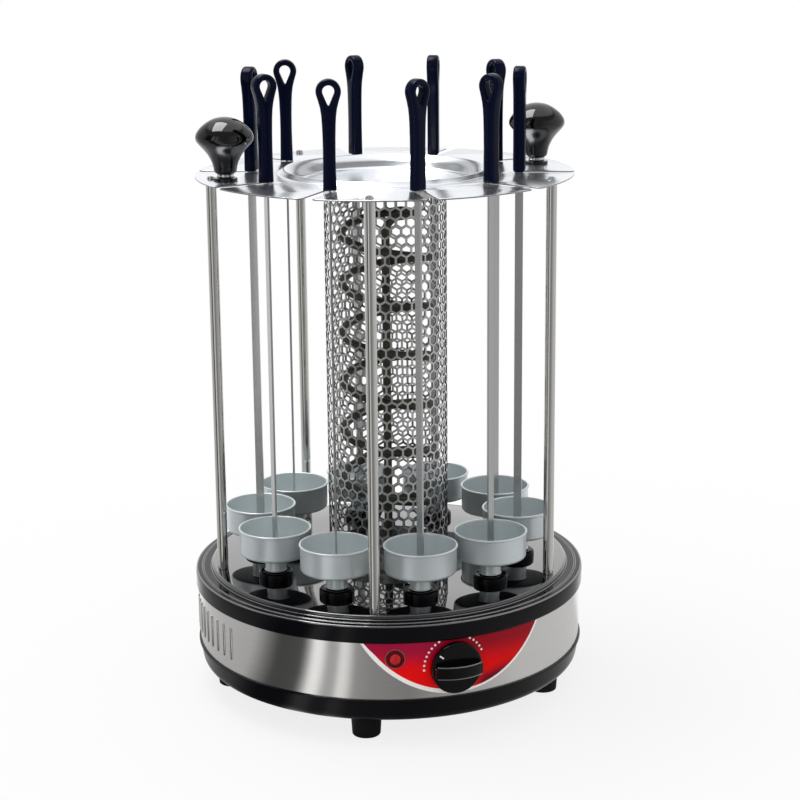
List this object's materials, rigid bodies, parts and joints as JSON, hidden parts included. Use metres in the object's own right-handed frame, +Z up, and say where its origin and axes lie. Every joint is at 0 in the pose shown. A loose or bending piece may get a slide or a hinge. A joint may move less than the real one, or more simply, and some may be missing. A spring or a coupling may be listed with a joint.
{
  "type": "vertical skewer grill",
  "caption": "Vertical electric skewer grill: a round base with hidden gears turns upright skewers standing in drip cups round a caged heater, below a notched steel plate on posts.",
  "frame": {"origin": "centre of the base, on the table under the feet", "axes": "+Z up along the heater, -Y towards the control knob"},
  "size_m": [0.3, 0.325, 0.474],
  "materials": {
    "black_plastic": "glossy black moulded plastic",
    "foot_rubber": "matt black rubber",
    "screw_steel": "bright plated steel",
    "band_steel": "stainless steel brushed round the band",
    "deck_steel": "zinc-plated sheet",
    "gear_nylon": "natural nylon",
    "gear_brass": "plain brass",
    "motor_case": "plated motor case",
    "polished_steel": "mirror-polished stainless steel",
    "handle_plastic": "glossy blue-black plastic",
    "cage_steel": "bright expanded sheet",
    "heater_sheath": "dark oxidised heater sheath",
    "switch_plastic": "dark switch housing",
    "panel_red": "bright red lacquer",
    "lamp_red": "clear red lens",
    "inlet_rubber": "black rubber bush",
    "spindle_nylon": "black heat-resistant nylon",
    "cup_aluminium": "satin spun aluminium",
    "blade_steel": "flat stainless steel strip"
  },
  "bodies": {
    "base": {"bottom_pan": "black_plastic", "rubber_feet": "foot_rubber", "case_screws": "screw_steel", "side_band": "band_steel", "top_tray": "black_plastic", "gear_deck": "deck_steel", "gear_motor": "motor_case", "support_posts": "polished_steel", "top_plate": "polished_steel", "lift_knobs": "handle_plastic", "heater_flange": "cage_steel", "heater_cage": "cage_steel", "heater_coil": "heater_sheath", "rotary_switch": "switch_plastic", "control_panel": "panel_red", "indicator_lamp": "lamp_red", "cord_inlet": "inlet_rubber"},
    "drive": {"drive_gear": "gear_nylon"},
    "motor_shaft": {"motor_pinion": "gear_brass"},
    "knob": {"control_knob": "handle_plastic"},
    "spindle_01": {"spindle_gear_01": "spindle_nylon", "drip_cup_01": "cup_aluminium"},
    "skewer_01": {"skewer_blade_01": "blade_steel", "skewer_handle_01": "handle_plastic"},
    "spindle_02": {"spindle_gear_02": "spindle_nylon", "drip_cup_02": "cup_aluminium"},
    "skewer_02": {"skewer_blade_02": "blade_steel", "skewer_handle_02": "handle_plastic"},
    "spindle_03": {"spindle_gear_03": "spindle_nylon", "drip_cup_03": "cup_aluminium"},
    "skewer_03": {"skewer_blade_03": "blade_steel", "skewer_handle_03": "handle_plastic"},
    "spindle_04": {"spindle_gear_04": "spindle_nylon", "drip_cup_04": "cup_aluminium"},
    "skewer_04": {"skewer_blade_04": "blade_steel", "skewer_handle_04": "handle_plastic"},
    "spindle_05": {"spindle_gear_05": "spindle_nylon", "drip_cup_05": "cup_aluminium"},
    "skewer_05": {"skewer_blade_05": "blade_steel", "skewer_handle_05": "handle_plastic"},
    "spindle_06": {"spindle_gear_06": "spindle_nylon", "drip_cup_06": "cup_aluminium"},
    "skewer_06": {"skewer_blade_06": "blade_steel", "skewer_handle_06": "handle_plastic"},
    "spindle_07": {"spindle_gear_07": "spindle_nylon", "drip_cup_07": "cup_aluminium"},
    "skewer_07": {"skewer_blade_07": "blade_steel", "skewer_handle_07": "handle_plastic"},
    "spindle_08": {"spindle_gear_08": "spindle_nylon", "drip_cup_08": "cup_aluminium"},
    "skewer_08": {"skewer_blade_08": "blade_steel", "skewer_handle_08": "handle_plastic"},
    "spindle_09": {"spindle_gear_09": "spindle_nylon", "drip_cup_09": "cup_aluminium"},
    "skewer_09": {"skewer_blade_09": "blade_steel", "skewer_handle_09": "handle_plastic"},
    "spindle_10": {"spindle_gear_10": "spindle_nylon", "drip_cup_10": "cup_aluminium"},
    "skewer_10": {"skewer_blade_10": "blade_steel", "skewer_handle_10": "handle_plastic"}
  },
  "joints": [
    {"name": "drive_spin", "type": "hinge", "parent": "base", "child": "drive", "pos_m": [0, 0, 0.069], "axis": [0, 0, 1], "continuous": true},
    {"name": "motor_spin", "type": "hinge", "parent": "base", "child": "motor_shaft", "pos_m": [-0.02079, 0.09781, 0.069], "axis": [0, 0, 1], "continuous": true},
    {"name": "knob_turn", "type": "hinge", "parent": "base", "child": "knob", "pos_m": [-0.0028, -0.15, 0.0592], "axis": [0, 1, 0], "range_deg": [0, 220]},
    {"name": "spindle_spin_01", "type": "hinge", "parent": "base", "child": "spindle_01", "pos_m": [-0.01045, -0.09945, 0.069], "axis": [0, 0, 1], "continuous": true},
    {"name": "skewer_lift_01", "type": "slide", "parent": "spindle_01", "child": "skewer_01", "axis": [0, 0, 1], "range_m": [0, 0.29]},
    {"name": "spindle_spin_02", "type": "hinge", "parent": "base", "child": "spindle_02", "pos_m": [0.05, -0.0866, 0.069], "axis": [0, 0, 1], "continuous": true},
    {"name": "skewer_lift_02", "type": "slide", "parent": "spindle_02", "child": "skewer_02", "axis": [0, 0, 1], "range_m": [0, 0.29]},
    {"name": "spindle_spin_03", "type": "hinge", "parent": "base", "child": "spindle_03", "pos_m": [0.09135, -0.04067, 0.069], "axis": [0, 0, 1], "continuous": true},
    {"name": "skewer_lift_03", "type": "slide", "parent": "spindle_03", "child": "skewer_03", "axis": [0, 0, 1], "range_m": [0, 0.29]},
    {"name": "spindle_spin_04", "type": "hinge", "parent": "base", "child": "spindle_04", "pos_m": [0.09781, 0.02079, 0.069], "axis": [0, 0, 1], "continuous": true},
    {"name": "skewer_lift_04", "type": "slide", "parent": "spindle_04", "child": "skewer_04", "axis": [0, 0, 1], "range_m": [0, 0.29]},
    {"name": "spindle_spin_05", "type": "hinge", "parent": "base", "child": "spindle_05", "pos_m": [0.06691, 0.07431, 0.069], "axis": [0, 0, 1], "continuous": true},
    {"name": "skewer_lift_05", "type": "slide", "parent": "spindle_05", "child": "skewer_05", "axis": [0, 0, 1], "range_m": [0, 0.29]},
    {"name": "spindle_spin_06", "type": "hinge", "parent": "base", "child": "spindle_06", "pos_m": [0.01045, 0.09945, 0.069], "axis": [0, 0, 1], "continuous": true},
    {"name": "skewer_lift_06", "type": "slide", "parent": "spindle_06", "child": "skewer_06", "axis": [0, 0, 1], "range_m": [0, 0.29]},
    {"name": "spindle_spin_07", "type": "hinge", "parent": "base", "child": "spindle_07", "pos_m": [-0.05, 0.0866, 0.069], "axis": [0, 0, 1], "continuous": true},
    {"name": "skewer_lift_07", "type": "slide", "parent": "spindle_07", "child": "skewer_07", "axis": [0, 0, 1], "range_m": [0, 0.29]},
    {"name": "spindle_spin_08", "type": "hinge", "parent": "base", "child": "spindle_08", "pos_m": [-0.09135, 0.04067, 0.069], "axis": [0, 0, 1], "continuous": true},
    {"name": "skewer_lift_08", "type": "slide", "parent": "spindle_08", "child": "skewer_08", "axis": [0, 0, 1], "range_m": [0, 0.29]},
    {"name": "spindle_spin_09", "type": "hinge", "parent": "base", "child": "spindle_09", "pos_m": [-0.09781, -0.02079, 0.069], "axis": [0, 0, 1], "continuous": true},
    {"name": "skewer_lift_09", "type": "slide", "parent": "spindle_09", "child": "skewer_09", "axis": [0, 0, 1], "range_m": [0, 0.29]},
    {"name": "spindle_spin_10", "type": "hinge", "parent": "base", "child": "spindle_10", "pos_m": [-0.06691, -0.07431, 0.069], "axis": [0, 0, 1], "continuous": true},
    {"name": "skewer_lift_10", "type": "slide", "parent": "spindle_10", "child": "skewer_10", "axis": [0, 0, 1], "range_m": [0, 0.29]}
  ],
  "couplings": [
    {"joint": "motor_spin", "follows": "drive_spin", "ratio": -7.3333},
    {"joint": "spindle_spin_01", "follows": "drive_spin", "ratio": -7.3333},
    {"joint": "spindle_spin_02", "follows": "drive_spin", "ratio": -7.3333},
    {"joint": "spindle_spin_03", "follows": "drive_spin", "ratio": -7.3333},
    {"joint": "spindle_spin_04", "follows": "drive_spin", "ratio": -7.3333},
    {"joint": "spindle_spin_05", "follows": "drive_spin", "ratio": -7.3333},
    {"joint": "spindle_spin_06", "follows": "drive_spin", "ratio": -7.3333},
    {"joint": "spindle_spin_07", "follows": "drive_spin", "ratio": -7.3333},
    {"joint": "spindle_spin_08", "follows": "drive_spin", "ratio": -7.3333},
    {"joint": "spindle_spin_09", "follows": "drive_spin", "ratio": -7.3333},
    {"joint": "spindle_spin_10", "follows": "drive_spin", "ratio": -7.3333}
  ]
}
